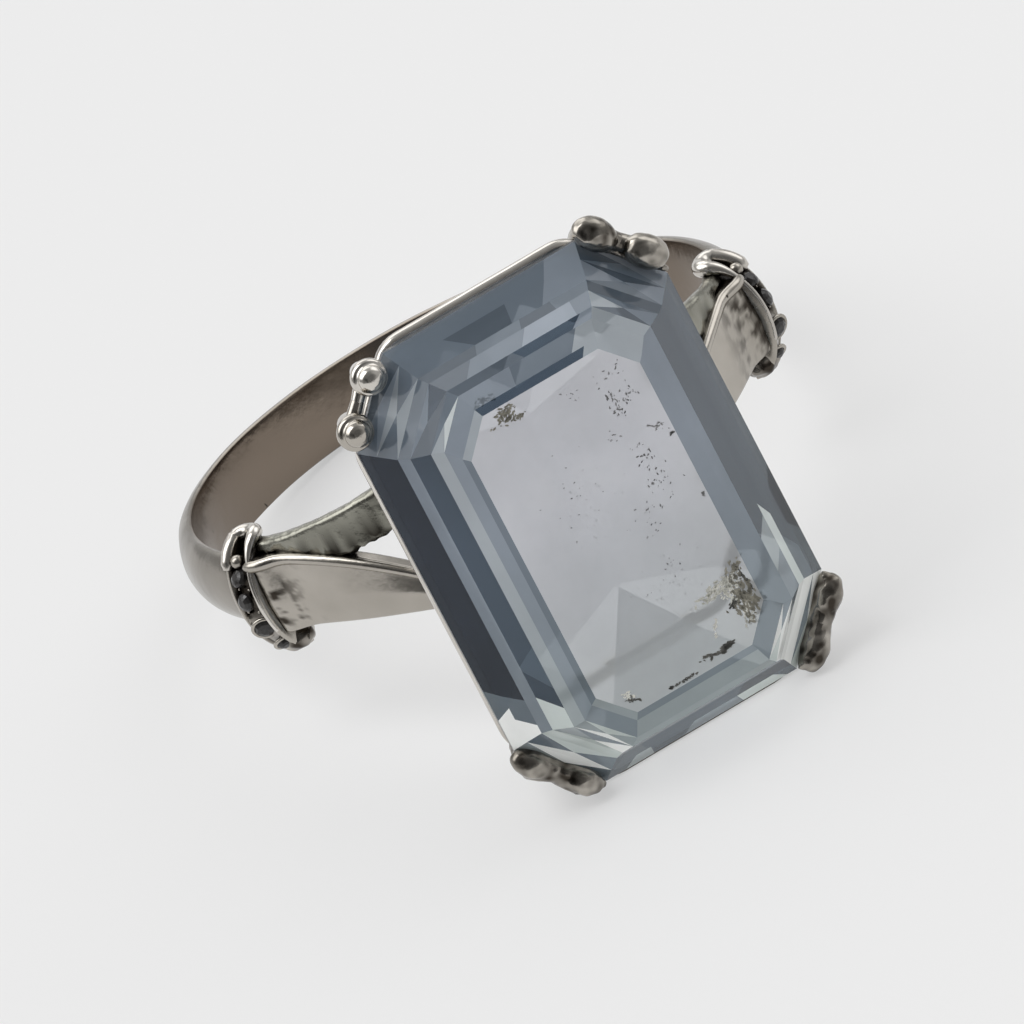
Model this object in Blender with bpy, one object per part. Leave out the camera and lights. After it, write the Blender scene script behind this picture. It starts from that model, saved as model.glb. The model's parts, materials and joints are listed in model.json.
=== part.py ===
"""Cocktail ring: one large step-cut stone in an eight-claw head on split shoulders.

The ring is drawn in its own frame, in millimetres: X runs across the shoulders, Y along
the finger and Z up through the stone, with the origin at the middle of the girdle.
It is then laid down to rest on its two lower claw pairs and the edge of its shank.
"""

import math

import bmesh
import bpy
from mathutils import Matrix, Vector

MM = 0.001

# Clearance that stands for a solder seam.
SEAM = 0.03

# Centre stone, an elongated octagon.
STONE_HALF_X = 5.72
STONE_HALF_Y = 8.0
CUT_X = 2.18
CUT_Y = 2.45
# Facet steps: height, inset across, inset along, share of the corner cut that is left.
CROWN_STEPS = (
    (0.10, 0.0, 0.0, 1.0),
    (1.35, 0.85, 0.72, 0.80),
    (2.50, 1.65, 1.38, 0.56),
    (3.15, 2.60, 2.28, 0.45),
)
PAVILION_STEPS = (
    (-0.10, 0.0, 0.0, 1.0),
    (-1.50, 1.25, 1.25, 0.85),
    (-2.90, 3.10, 3.00, 0.55),
    (-3.90, 5.32, 5.20, 0.12),
)

# Hoop.
HOOP_CENTRE_Z = -13.8
HOOP_INNER_R = 9.4
SHANK_THICKNESS = 0.9
SHANK_WIDTH = 2.5
SHANK_SIDE_WALL = 0.12
SHANK_EDGE_BREAK = 0.15
HOOP_MID_R = HOOP_INNER_R + SHANK_THICKNESS / 2
SHANK_STATIONS = 64
SHANK_CROWN_POINTS = 9

# Collars: grooved cuffs over the ends of the shank, each set with a row of small stones.
COLLAR_ANGLE = 25.5
COLLAR_LENGTH = 1.3
COLLAR_SIDE_WALL = 0.88
COLLAR_TOP_WALL = 0.55
COLLAR_GROOVE_WIDTH = 0.74
COLLAR_GROOVE_SHARE = 0.5
COLLAR_FOOT_SHARE = 0.7
COLLAR_STATIONS = 13
COLLAR_HALF_ANGLE = math.degrees(COLLAR_LENGTH / 2 / HOOP_MID_R)
SEAM_ANGLE = math.degrees(SEAM / HOOP_MID_R)

# Small stones in the collar grooves: height above the groove floor and radius.
ACCENT_POSITIONS = (60.0, 84.0, 112.0, 140.0)
ACCENT_PROFILE = ((0.03, 0.06), (0.20, 0.30), (0.24, 0.30), (0.33, 0.18))
ACCENT_SIDES = 10

# Split shoulders. Each arm follows the hoop from its collar to the lower gallery rail.
ARM_END_ANGLE = 69.0
ARM_STATIONS = 11
ARM_INNER_R = HOOP_INNER_R + 0.05
ARM_CHAMFER = 0.12
# Edges of each arm along Y at the collar, at the fork and at the gallery.
LOWER_ARM_EDGES = ((-1.25, 1.48), (-1.62, 0.62), (-2.30, -1.60))
LOWER_ARM_OUTER_R = 10.2
UPPER_ARM_EDGES = ((1.53, 1.86), (0.72, 2.26), (1.40, 3.00))
UPPER_ARM_OUTER_R = 10.0
FORK_SHARE = 0.52

# Gallery rails, as section corners: half size across, half size along, cut scale, height.
UPPER_RAIL = (
    (5.66, 8.10, 1.06, -0.55),
    (5.26, 7.66, 0.97, -1.15),
    (4.86, 7.16, 0.90, -1.15),
    (5.40, 7.68, 0.95, -0.55),
)
LOWER_RAIL = (
    (4.10, 5.60, 0.70, -3.60),
    (4.10, 5.60, 0.70, -4.24),
    (3.50, 5.00, 0.55, -4.24),
    (3.50, 5.00, 0.55, -3.60),
)

# Claws: two round wires with ball tips on every corner cut.
CLAW_WIRE_R = 0.36
CLAW_BALL_R = 0.62
CLAW_STANDOFF = 0.43
CLAW_BALL_Z = 0.70
CLAW_FOOT_Z = -4.05
CLAW_BEND_Z = -1.9
CLAW_TOP_SPREAD = 0.9
CLAW_FOOT_SPREAD = 0.42
CLAW_WIRE_STATIONS = 7
CLAW_SIDES = 12
CLAW_BALL_HEIGHTS = (-0.50, -0.40, -0.24, -0.05, 0.15, 0.33, 0.48, 0.59)

SHARP_EDGE = math.radians(35.0)

# Halvings of the search for the angle at which the ring comes to rest.
REST_SEARCH_STEPS = 48


def clear_scene():
    for obj in list(bpy.data.objects):
        bpy.data.objects.remove(obj, do_unlink=True)


def make_material(name, colour, roughness, metallic):
    material = bpy.data.materials.new(name)
    material.use_nodes = True
    shader = material.node_tree.nodes["Principled BSDF"]
    shader.inputs["Base Color"].default_value = (*colour, 1.0)
    shader.inputs["Roughness"].default_value = roughness
    shader.inputs["Metallic"].default_value = metallic
    return material


def add_solid(name, stations, material, parent, closed=False, smooth=True):
    """Skin a list of equal rings of points, in millimetres, into one closed body."""
    bm = bmesh.new()
    rings = []
    for station in stations:
        rings.append([bm.verts.new(Vector(point) * MM) for point in station])
    count = len(rings[0])
    spans = len(rings) if closed else len(rings) - 1
    for span in range(spans):
        near = rings[span]
        far = rings[(span + 1) % len(rings)]
        for i in range(count):
            j = (i + 1) % count
            bm.faces.new((near[i], near[j], far[j], far[i]))
    if not closed:
        bm.faces.new(rings[0])
        bm.faces.new(rings[-1])
    bmesh.ops.recalc_face_normals(bm, faces=bm.faces)
    mesh = bpy.data.meshes.new(name)
    bm.to_mesh(mesh)
    bm.free()
    if smooth:
        mesh.shade_smooth()
        mesh.set_sharp_from_angle(angle=SHARP_EDGE)
    mesh.materials.append(material)
    obj = bpy.data.objects.new(name, mesh)
    obj.parent = parent
    bpy.context.scene.collection.objects.link(obj)
    return obj


def octagon(half_x, half_y, cut_scale, z):
    cut_x = CUT_X * cut_scale
    cut_y = CUT_Y * cut_scale
    outline = (
        (half_x, half_y - cut_y),
        (half_x - cut_x, half_y),
        (cut_x - half_x, half_y),
        (-half_x, half_y - cut_y),
        (-half_x, cut_y - half_y),
        (cut_x - half_x, -half_y),
        (half_x - cut_x, -half_y),
        (half_x, cut_y - half_y),
    )
    return [(x, y, z) for x, y in outline]


def build_stone(material, parent):
    steps = tuple(reversed(PAVILION_STEPS)) + CROWN_STEPS
    stations = []
    for z, inset_x, inset_y, cut_scale in steps:
        stations.append(octagon(STONE_HALF_X - inset_x, STONE_HALF_Y - inset_y, cut_scale, z))
    return add_solid("centre_stone", stations, material, parent, smooth=False)


def hoop_point(side, angle, radius, y):
    """Point of the hoop: side is +1 or -1, angle in degrees up from the shoulder line."""
    turn = math.radians(angle)
    x = side * radius * math.cos(turn)
    z = HOOP_CENTRE_Z + radius * math.sin(turn)
    return (x, y, z)


def build_shank(material, parent):
    half = SHANK_WIDTH / 2
    crown_base = HOOP_INNER_R + SHANK_SIDE_WALL
    crown_rise = SHANK_THICKNESS - SHANK_SIDE_WALL
    section = [(half - SHANK_EDGE_BREAK, HOOP_INNER_R)]
    for i in range(SHANK_CROWN_POINTS):
        turn = math.pi * i / (SHANK_CROWN_POINTS - 1)
        section.append((half * math.cos(turn), crown_base + crown_rise * math.sin(turn)))
    section.append((SHANK_EDGE_BREAK - half, HOOP_INNER_R))
    end = COLLAR_ANGLE + COLLAR_HALF_ANGLE
    start = 180.0 - end
    sweep = 360.0 - start + end
    stations = []
    for i in range(SHANK_STATIONS + 1):
        angle = start + sweep * i / SHANK_STATIONS
        stations.append([hoop_point(1, angle, radius, y) for y, radius in section])
    return add_solid("shank", stations, material, parent)


def collar_walls(arch_angle):
    """Inner and outer (y, radius) of a collar at one place on its arch over the shank."""
    turn = math.radians(arch_angle)
    arch_base = HOOP_INNER_R + SHANK_SIDE_WALL
    inner_y = SHANK_WIDTH / 2 + SEAM
    inner_rise = SHANK_THICKNESS - SHANK_SIDE_WALL + SEAM
    inner = (inner_y * math.cos(turn), arch_base + inner_rise * math.sin(turn))
    outer_y = (inner_y + COLLAR_SIDE_WALL) * math.cos(turn)
    outer_radius = arch_base + (inner_rise + COLLAR_TOP_WALL) * math.sin(turn)
    return Vector(inner), Vector((outer_y, outer_radius))


def collar_section(side, inner, outer):
    half_groove = COLLAR_GROOVE_WIDTH / COLLAR_LENGTH
    floor = 1.0 - COLLAR_GROOVE_SHARE
    corners = (
        (0.0, -1.0),
        (0.0, 1.0),
        (1.0, 1.0),
        (1.0, half_groove),
        (floor, half_groove),
        (floor, -half_groove),
        (1.0, -half_groove),
        (1.0, -1.0),
    )
    points = []
    for share, along in corners:
        y, radius = inner.lerp(outer, share)
        angle = COLLAR_ANGLE + along * COLLAR_HALF_ANGLE
        points.append(hoop_point(side, angle, radius, y))
    return points


def build_collar(name, side, material, parent):
    foot_drop = Vector((0.0, SHANK_SIDE_WALL))
    stations = []
    for i in range(COLLAR_STATIONS):
        inner, outer = collar_walls(180.0 * i / (COLLAR_STATIONS - 1))
        stations.append(collar_section(side, inner, outer))
    for end in (0, 180):
        inner, outer = collar_walls(end)
        tip = inner.lerp(outer, COLLAR_FOOT_SHARE)
        foot = collar_section(side, inner - foot_drop, tip - foot_drop)
        stations.insert(0 if end == 0 else len(stations), foot)
    return add_solid(name, stations, material, parent)


def build_accent(name, side, arch_angle, material, parent):
    inner, outer = collar_walls(arch_angle)
    floor = inner.lerp(outer, 1.0 - COLLAR_GROOVE_SHARE)
    base = Vector(hoop_point(side, COLLAR_ANGLE, floor.y, floor.x))
    top = Vector(hoop_point(side, COLLAR_ANGLE, outer.y, outer.x))
    axis = (top - base).normalized()
    across = axis.cross(Vector((0, 1, 0))).normalized()
    along = axis.cross(across)
    stations = []
    for height, radius in ACCENT_PROFILE:
        ring = []
        for i in range(ACCENT_SIDES):
            turn = 2 * math.pi * i / ACCENT_SIDES
            spread = across * math.cos(turn) + along * math.sin(turn)
            ring.append(base + axis * height + spread * radius)
        stations.append(ring)
    return add_solid(name, stations, material, parent, smooth=False)


def arm_edge(values, share):
    """Edge position at a share of the arm's length, through collar, fork and gallery."""
    start, fork, end = values
    if share < FORK_SHARE:
        return start + (fork - start) * share / FORK_SHARE
    return fork + (end - fork) * (share - FORK_SHARE) / (1.0 - FORK_SHARE)


def build_arm(name, side, edges, outer_r, material, parent):
    start_angle = COLLAR_ANGLE + COLLAR_HALF_ANGLE + SEAM_ANGLE
    low_values = [low for low, high in edges]
    high_values = [high for low, high in edges]
    stations = []
    for i in range(ARM_STATIONS):
        share = i / (ARM_STATIONS - 1)
        angle = start_angle + (ARM_END_ANGLE - start_angle) * share
        low = arm_edge(low_values, share)
        high = arm_edge(high_values, share)
        section = (
            (low, ARM_INNER_R),
            (high, ARM_INNER_R),
            (high, outer_r - ARM_CHAMFER),
            (high - ARM_CHAMFER, outer_r),
            (low + ARM_CHAMFER, outer_r),
            (low, outer_r - ARM_CHAMFER),
        )
        stations.append([hoop_point(side, angle, radius, y) for y, radius in section])
    return add_solid(name, stations, material, parent)


def build_rail(name, corners, material, parent):
    loops = [octagon(*corner) for corner in corners]
    stations = [list(points) for points in zip(*loops)]
    return add_solid(name, stations, material, parent, closed=True, smooth=False)


def corner_point(half_x, half_y, cut_scale, outward, along):
    """Point beside the middle of one corner cut, as (x, y) in the +X +Y quarter."""
    middle = Vector((half_x - CUT_X * cut_scale / 2, half_y - CUT_Y * cut_scale / 2))
    normal = Vector((CUT_Y, CUT_X)).normalized()
    edge = Vector((CUT_X, -CUT_Y)).normalized()
    return middle + normal * outward + edge * along


def ring_about(centre, direction, along, radius):
    """Circle of points around a centre, square to a direction."""
    up = direction.cross(along).normalized()
    flat = up.cross(direction).normalized()
    points = []
    for i in range(CLAW_SIDES):
        turn = 2 * math.pi * i / CLAW_SIDES
        points.append(centre + (flat * math.cos(turn) + up * math.sin(turn)) * radius)
    return points


def build_claw(name, mirror_x, mirror_y, lean, material, parent):
    """One claw: lean is +1 for the claw nearer the long side, -1 for the short side."""
    foot_xy = corner_point(
        *LOWER_RAIL[0][:3], CLAW_WIRE_R + SEAM, lean * CLAW_FOOT_SPREAD
    )
    top_xy = corner_point(
        STONE_HALF_X, STONE_HALF_Y, 1.0, CLAW_STANDOFF, lean * CLAW_TOP_SPREAD
    )
    foot = Vector((*foot_xy, CLAW_FOOT_Z))
    bend = Vector((*top_xy, CLAW_BEND_Z))
    neck = Vector((*top_xy, CLAW_BALL_Z + CLAW_BALL_HEIGHTS[0] - SEAM))
    along = Vector((CUT_X, -CUT_Y, 0.0)).normalized()
    stations = []
    for i in range(CLAW_WIRE_STATIONS):
        t = i / (CLAW_WIRE_STATIONS - 1)
        centre = foot * (1 - t) ** 2 + bend * 2 * t * (1 - t) + neck * t ** 2
        direction = (bend - foot) * (1 - t) + (neck - bend) * t
        stations.append(ring_about(centre, direction.normalized(), along, CLAW_WIRE_R))
    upright = Vector((0.0, 0.0, 1.0))
    for height in CLAW_BALL_HEIGHTS:
        centre = Vector((*top_xy, CLAW_BALL_Z + height))
        radius = math.sqrt(CLAW_BALL_R ** 2 - height ** 2)
        stations.append(ring_about(centre, upright, along, radius))
    placed = []
    for ring in stations:
        placed.append([(p.x * mirror_x, p.y * mirror_y, p.z) for p in ring])
    return add_solid(name, placed, material, parent)


def rest_angle(front_points, back_points):
    """Lean from flat on its side at which the head and the shank touch the floor together."""
    low, high = 0.0, math.pi / 4
    for _ in range(REST_SEARCH_STEPS):
        middle = (low + high) / 2
        head = min(p.y * math.cos(middle) + p.z * math.sin(middle) for p in front_points)
        heel = min(p.y * math.cos(middle) + p.z * math.sin(middle) for p in back_points)
        if head < heel:
            low = middle
        else:
            high = middle
    return middle


def lay_down(root, shank, head_parts, solids):
    """Tip the ring onto its resting points, with the origin under the middle of its box."""
    head_points = [v.co for obj in head_parts for v in obj.data.vertices]
    shank_points = [v.co for v in shank.data.vertices]
    lean = rest_angle(head_points, shank_points)
    turn = Matrix.Rotation(math.pi / 2 - lean, 4, "X")
    points = [turn @ v.co for obj in solids for v in obj.data.vertices]
    lows = [min(p[i] for p in points) for i in range(3)]
    highs = [max(p[i] for p in points) for i in range(3)]
    shift = Vector((-(lows[0] + highs[0]) / 2, -(lows[1] + highs[1]) / 2, -lows[2]))
    root.rotation_euler = (math.pi / 2 - lean, 0.0, 0.0)
    root.location = shift


def main():
    clear_scene()
    silver = make_material("worn_silver", (0.60, 0.57, 0.53), 0.28, 1.0)
    dark_silver = make_material("tarnished_silver", (0.30, 0.28, 0.26), 0.42, 1.0)
    blue_stone = make_material("blue_grey_stone", (0.36, 0.43, 0.50), 0.05, 0.0)
    dark_stone = make_material("dark_accent_stone", (0.10, 0.09, 0.09), 0.15, 0.0)

    root = bpy.data.objects.new("ring", None)
    bpy.context.scene.collection.objects.link(root)

    shank = build_shank(silver, root)
    head = [
        build_stone(blue_stone, root),
        build_rail("gallery_rail_upper", UPPER_RAIL, dark_silver, root),
        build_rail("gallery_rail_lower", LOWER_RAIL, dark_silver, root),
    ]
    for end, mirror_y in (("upper", 1), ("lower", -1)):
        for hand, mirror_x in (("left", -1), ("right", 1)):
            for place, lean in (("side", 1), ("end", -1)):
                name = f"claw_{end}_{hand}_{place}"
                head.append(build_claw(name, mirror_x, mirror_y, lean, silver, root))

    shoulders = []
    for hand, side in (("left", -1), ("right", 1)):
        shoulders.append(build_collar(f"collar_{hand}", side, silver, root))
        lower = build_arm(
            f"arm_{hand}_lower", side, LOWER_ARM_EDGES, LOWER_ARM_OUTER_R, silver, root
        )
        upper = build_arm(
            f"arm_{hand}_upper", side, UPPER_ARM_EDGES, UPPER_ARM_OUTER_R, dark_silver, root
        )
        shoulders += [lower, upper]
        for i, arch_angle in enumerate(ACCENT_POSITIONS):
            name = f"accent_stone_{hand}_{i + 1}"
            shoulders.append(build_accent(name, side, arch_angle, dark_stone, root))

    lay_down(root, shank, head, [shank] + head + shoulders)


main()
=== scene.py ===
"""Looks for the cocktail ring: finer metalwork, a clear cut stone, worn silver and soft light."""

import json
import math
import random
from typing import NamedTuple

import bmesh
import bpy
from mathutils import Matrix, Vector, noise


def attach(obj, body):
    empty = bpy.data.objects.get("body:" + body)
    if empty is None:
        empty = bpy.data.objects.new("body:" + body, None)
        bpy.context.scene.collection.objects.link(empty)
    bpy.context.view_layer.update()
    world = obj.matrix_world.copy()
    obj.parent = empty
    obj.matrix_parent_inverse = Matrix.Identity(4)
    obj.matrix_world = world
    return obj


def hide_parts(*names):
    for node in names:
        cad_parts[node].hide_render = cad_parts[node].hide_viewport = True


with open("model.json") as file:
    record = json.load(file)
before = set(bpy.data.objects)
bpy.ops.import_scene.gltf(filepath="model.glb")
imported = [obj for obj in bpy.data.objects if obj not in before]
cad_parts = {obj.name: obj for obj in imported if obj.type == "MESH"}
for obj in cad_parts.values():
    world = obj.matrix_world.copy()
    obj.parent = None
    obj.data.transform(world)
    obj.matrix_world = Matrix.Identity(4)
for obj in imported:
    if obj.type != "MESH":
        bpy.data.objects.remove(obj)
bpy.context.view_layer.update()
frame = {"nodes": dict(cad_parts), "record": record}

MM = 0.001

# The ring's own frame, in millimetres: X across the shoulders, Y along the finger, Z up
# through the stone, origin at the middle of the girdle.
UP = Vector((0.0, 0.0, 1.0))
FINGER = Vector((0.0, 1.0, 0.0))
TABLE_Z = 3.15
MOUNTS = {mount["name"]: mount for mount in frame["record"]["mounts"]}
RING_Z = Vector(MOUNTS["table_face"]["axis"]).normalized()
RING_Y = Vector(MOUNTS["finger_hole"]["axis"]).normalized()
RING_X = RING_Y.cross(RING_Z)
RING_ORIGIN = Vector(MOUNTS["table_face"]["pos_m"]) - RING_Z * TABLE_Z * MM
TURN = Matrix((RING_X, RING_Y, RING_Z)).transposed()
TO_WORLD = Matrix.Translation(RING_ORIGIN) @ TURN.to_4x4() @ Matrix.Scale(MM, 4)

# Stone, cut in steps. Each step: height, inset along X and along Y, share of the corner cut.
STONE_X = 5.72
STONE_Y = 8.0
CUT_X = 2.18
CUT_Y = 2.45
CROWN = (
    (0.10, 0.0, 0.0, 1.0),
    (0.684, 0.40, 0.43, 0.91),
    (1.34, 0.85, 0.905, 0.81),
    (1.76, 1.15, 1.10, 0.75),
    (2.52, 1.68, 1.37, 0.63),
    (2.76, 2.05, 1.63, 0.56),
    (3.02, 2.42, 2.21, 0.49),
    (3.15, 2.62, 2.48, 0.45),
)
PAVILION = (
    (-0.10, 0.0, 0.0, 1.0),
    (-1.50, 1.25, 1.20, 0.85),
    (-2.90, 3.10, 2.70, 0.55),
    (-3.90, 5.62, 4.70, 0.04),
)

# Hoop and the pieces that follow it. Angles are in degrees, 0 at the side and 90 under the
# stone. Side is 1 on the right and -1 on the left.
HANDS = {-1: "left", 1: "right"}
HOOP_Z = -13.8
HOOP_INNER = 9.4
SHANK_RISE = 0.9
SHANK_HALF = 1.25
SIDE_WALL = 0.12
HOOP_MID = HOOP_INNER + SHANK_RISE / 2

SEAM = 0.03
COLLAR_ANGLE = 25.5
COLLAR_LENGTH = 1.3
COLLAR_HALF = math.degrees(COLLAR_LENGTH / 2 / HOOP_MID)
COLLAR_SIDE = 0.88
COLLAR_TOP = 0.55
ACCENTS = (60.0, 84.0, 112.0, 140.0)
ACCENT_RADII = (0.31, 0.31, 0.36, 0.26)
TIP_LEAN = 0.7

ARM_START = COLLAR_ANGLE + COLLAR_HALF + math.degrees(SEAM / HOOP_MID)
ARM_END = 69.0
FORK = 0.52
ARM_INNER = HOOP_INNER + 0.05

# Claws.
STANDOFF = 0.43
WIRE_R = 0.36
FOOT_Z = -4.05
BEND_Z = -1.9
TOP_SPREAD = 0.9
FOOT_SPREAD = 0.42

# Rails: half width, half length and share of the corner cut, then height.
UPPER_RAIL_SIZE = (5.55, 8.00, 1.04)
UPPER_RAIL_Z = -0.22
LOWER_RAIL_SIZE = (4.10, 5.60, 0.70)
LOWER_RAIL_Z = -3.70


# ---- materials


# Sockets of a colour Mix node, by place, because its other kinds have sockets of the same name.
MIX_FACTOR = 0
MIX_FIRST = 6
MIX_SECOND = 7
MIX_RESULT = 2
NOISE_ROUGHNESS = 0.55


class Shader:
    """A Principled material that is built up node by node."""

    def __init__(self, name):
        self.material = bpy.data.materials.new(name)
        self.material.use_nodes = True
        self.tree = self.material.node_tree
        self.nodes = self.tree.nodes
        self.base = self.nodes["Principled BSDF"]
        self.output = self.nodes["Material Output"]
        self.place = self.nodes.new("ShaderNodeTexCoord").outputs["Object"]

    def put(self, **values):
        for key, value in values.items():
            self.base.inputs[key.replace("_", " ")].default_value = value

    def link(self, source, target):
        self.tree.links.new(source, target)

    def attribute(self, name):
        """Node that reads what the mesh holds under this name."""
        node = self.nodes.new("ShaderNodeAttribute")
        node.attribute_name = name
        return node

    def noise(self, scale, detail=4.0, stretch=None):
        source = self.place
        if stretch:
            mapping = self.nodes.new("ShaderNodeMapping")
            mapping.inputs["Scale"].default_value = stretch
            self.link(self.place, mapping.inputs["Vector"])
            source = mapping.outputs["Vector"]
        node = self.nodes.new("ShaderNodeTexNoise")
        node.inputs["Scale"].default_value = scale
        node.inputs["Detail"].default_value = detail
        node.inputs["Roughness"].default_value = NOISE_ROUGHNESS
        self.link(source, node.inputs["Vector"])
        return node.outputs["Fac"]

    def ramp(self, source, stops):
        node = self.nodes.new("ShaderNodeValToRGB")
        elements = node.color_ramp.elements
        while len(elements) < len(stops):
            elements.new(0.5)
        for element, (at, colour) in zip(elements, stops):
            element.position = at
            element.color = (*colour, 1.0)
        self.link(source, node.inputs["Fac"])
        return node.outputs["Color"]

    def mix(self, kind, factor, first, second):
        node = self.nodes.new("ShaderNodeMix")
        node.data_type = "RGBA"
        node.blend_type = kind
        for value, socket in ((factor, MIX_FACTOR), (first, MIX_FIRST), (second, MIX_SECOND)):
            if isinstance(value, bpy.types.NodeSocket):
                self.link(value, node.inputs[socket])
            elif socket == MIX_FACTOR:
                node.inputs[socket].default_value = value
            else:
                node.inputs[socket].default_value = (*value, 1.0)
        return node.outputs[MIX_RESULT]

    def bump(self, height, strength, distance, below=None):
        node = self.nodes.new("ShaderNodeBump")
        node.inputs["Strength"].default_value = strength
        node.inputs["Distance"].default_value = distance
        self.link(height, node.inputs["Height"])
        if below:
            self.link(below, node.inputs["Normal"])
        return node.outputs["Normal"]

    def crevice(self, reach):
        """1 on open surfaces and 0 deep in corners."""
        node = self.nodes.new("ShaderNodeAmbientOcclusion")
        node.samples = 16
        node.inputs["Distance"].default_value = reach
        return node.outputs["AO"]


def grey(value):
    """Colour without a hue."""
    return (value, value, value)


# Kinds of silver: bright, tarnished and dirty colour, roughness, depth of the pits.
SILVERS = {
    "worn_silver": ((0.47, 0.44, 0.395), (0.36, 0.335, 0.295), (0.05, 0.042, 0.034), 0.20, 0.7),
    "polished_silver": ((0.72, 0.69, 0.64), (0.50, 0.47, 0.43), (0.05, 0.042, 0.034), 0.16, 0.8),
    "tarnished_silver": ((0.33, 0.325, 0.28), (0.16, 0.155, 0.13), (0.03, 0.027, 0.022), 0.26, 2.6),
    # Gallery silver: pale and barely darkened in its corners, painted light that lifts the shade
    # the lower rail sits in under the stone.
    "gallery_silver_shade_lifted": ((0.80, 0.78, 0.74), (0.70, 0.68, 0.64), (0.40, 0.38, 0.35), 0.35, 0.5),
}
# Inside of the band: brown tarnish, darkened further as painted shade.
INNER_TARNISH_AND_SHADE = (0.22, 0.18, 0.145)


def silver(name, bright, tarnish, dirt, rough, pitted):
    """Worn silver: faint clouds of tarnish, fine scratches, dirt kept in the corners.

    A mesh may hold "inside", for browner metal that also carries painted shade, and its soot
    attribute, for blackened metal that in places is painted shade.
    """
    shader = Shader(name)
    clouds = shader.noise(scale=260.0, detail=3.0)
    shade = shader.ramp(clouds, ((0.30, tarnish), (0.62, bright)))
    inside = shader.attribute("inside").outputs["Fac"]
    shade = shader.mix("MIX", inside, shade, INNER_TARNISH_AND_SHADE)
    corners = shader.ramp(shader.crevice(reach=0.0006), ((0.30, grey(0.0)), (0.80, grey(1.0))))
    shade = shader.mix("MIX", corners, dirt, shade)
    specks = shader.noise(scale=1400.0, detail=2.0)
    pits = shader.ramp(specks, ((0.235, grey(0.0)), (0.25, grey(1.0))))
    shade = shader.mix("MIX", pits, dirt, shade)
    soot_and_shade = shader.attribute("soot_and_shade").outputs["Fac"]
    shade = shader.mix("MIX", soot_and_shade, shade, dirt)
    shader.link(shade, shader.base.inputs["Base Color"])
    dullness = shader.ramp(clouds, ((0.3, grey(rough + 0.08)), (0.7, grey(rough - 0.04))))
    shader.link(dullness, shader.base.inputs["Roughness"])
    dents = shader.noise(scale=520.0, detail=2.0)
    normal = shader.bump(dents, strength=0.5 * pitted, distance=0.00010)
    grain = shader.noise(scale=1900.0, detail=3.0)
    normal = shader.bump(grain, strength=0.35 * pitted, distance=0.00004, below=normal)
    scratches = shader.noise(scale=1300.0, detail=1.0, stretch=(1.0, 8.0, 1.5))
    normal = shader.bump(scratches, strength=0.12, distance=0.00002, below=normal)
    shader.link(normal, shader.base.inputs["Normal"])
    shader.put(Metallic=1.0)
    return shader.material


GEM_IOR = 1.36
GEM_BODY = (0.26, 0.33, 0.44, 1.0)
GEM_DENSITY = 80.0
GEM_LOWER_END = (0.78, 0.81, 0.78)


def gem_drift(shader):
    """Slow change of colour along the stone, darker towards its lower end."""
    length = 2 * STONE_Y * MM
    along = shader.nodes.new("ShaderNodeVectorMath")
    along.operation = "DOT_PRODUCT"
    along.inputs[1].default_value = RING_Y / length
    shader.link(shader.place, along.inputs[0])
    share = shader.nodes.new("ShaderNodeMath")
    share.operation = "ADD"
    share.inputs[1].default_value = 0.5 - RING_ORIGIN.dot(RING_Y) / length
    shader.link(along.outputs["Value"], share.inputs[0])
    return shader.ramp(share.outputs["Value"], ((0.14, GEM_LOWER_END), (0.60, grey(1.0))))


def gem_material():
    """Clear stone with a milky haze: each facet holds its own painted reflection or shade,
    clearness and frost.
    """
    shader = Shader("blue_grey_stone")
    # Each facet's painted reflection, highlight or shade, with its clearness in the alpha.
    painted_facet_light = shader.attribute("painted_facet_light")
    clouds = shader.noise(scale=330.0, detail=5.0)
    veil = shader.ramp(clouds, ((0.35, grey(0.88)), (0.65, grey(1.0))))
    colour = shader.mix("MULTIPLY", 1.0, painted_facet_light.outputs["Color"], veil)
    colour = shader.mix("MULTIPLY", 1.0, colour, gem_drift(shader))
    shader.link(colour, shader.base.inputs["Base Color"])
    shader.link(painted_facet_light.outputs["Alpha"], shader.base.inputs["Transmission Weight"])
    frost = shader.attribute("frost").outputs["Fac"]
    shader.link(frost, shader.base.inputs["Roughness"])
    shader.put(IOR=GEM_IOR)
    body = shader.nodes.new("ShaderNodeVolumeAbsorption")
    body.inputs["Color"].default_value = GEM_BODY
    body.inputs["Density"].default_value = GEM_DENSITY
    shader.link(body.outputs["Volume"], shader.output.inputs["Volume"])
    return shader.material


def patchy_material(name, scale, detail, dark, light, rough):
    """Plain material whose colour drifts between two tones: each tone is (place, colour)."""
    shader = Shader(name)
    tone = shader.ramp(shader.noise(scale=scale, detail=detail), (dark, light))
    shader.link(tone, shader.base.inputs["Base Color"])
    shader.put(Roughness=rough)
    return shader.material


def dark_stone_material():
    darkest = (0.3, (0.008, 0.007, 0.007))
    lightest = (0.8, (0.05, 0.047, 0.045))
    return patchy_material("dark_accent_stone", 2200.0, 4.0, darkest, lightest, 0.12)


def floor_material():
    """Pale paper that gives off a little light, so that shadows stay soft."""
    shader = Shader("floor")
    tone = shader.ramp(shader.noise(scale=3.0), ((0.0, grey(0.395)), (1.0, grey(0.405))))
    shader.link(tone, shader.base.inputs["Base Color"])
    shader.put(Roughness=0.9, Specular_IOR_Level=0.0, Emission_Strength=0.44)
    shader.base.inputs["Emission Color"].default_value = (1.0, 1.0, 1.0, 1.0)
    return shader.material


# ---- geometry


def add_object(name, bm):
    """Object that holds a finished mesh."""
    mesh = bpy.data.meshes.new(name)
    bm.to_mesh(mesh)
    bm.free()
    obj = bpy.data.objects.new(name, mesh)
    bpy.context.scene.collection.objects.link(obj)
    return obj


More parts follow.
